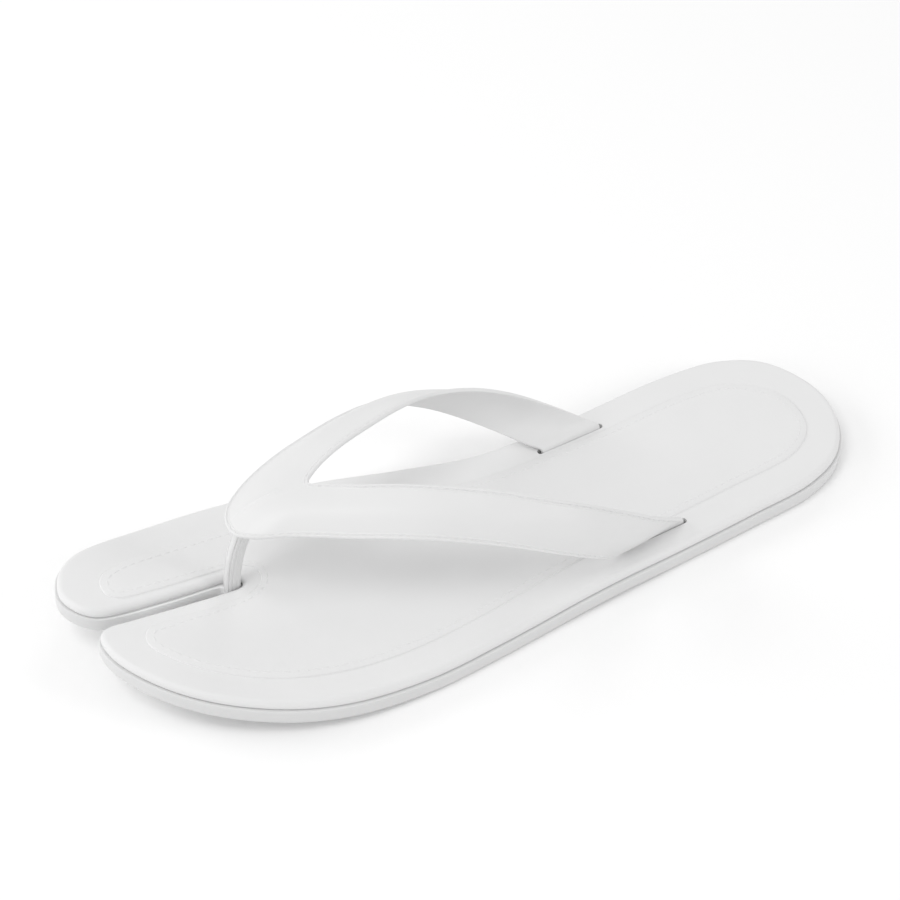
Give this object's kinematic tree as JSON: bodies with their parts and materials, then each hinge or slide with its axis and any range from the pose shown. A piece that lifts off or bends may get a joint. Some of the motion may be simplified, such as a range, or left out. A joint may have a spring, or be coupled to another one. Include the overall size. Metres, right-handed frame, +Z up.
{
  "type": "split-toe thong sandal",
  "caption": "Left split-toe thong sandal in white moulded rubber: a thin layered sole with toe spring and raised insole, a toe post, and crowned straps that run back into slots by the heel.",
  "frame": {"origin": "on the floor under the middle of the sandal's box", "axes": "+X from the toes to the heel along the longest extent, +Y to the inner (big toe) side, +Z up, the shortest extent"},
  "size_m": [0.2801, 0.0993, 0.0563],
  "materials": {
    "sole_rubber": "satin white moulded rubber",
    "strap_rubber": "satin white moulded rubber, a little smoother and lighter than the sole"
  },
  "bodies": {
    "root": {"outsole": "sole_rubber", "footbed": "sole_rubber", "insole": "sole_rubber", "upper": "strap_rubber"}
  },
  "joints": []
}
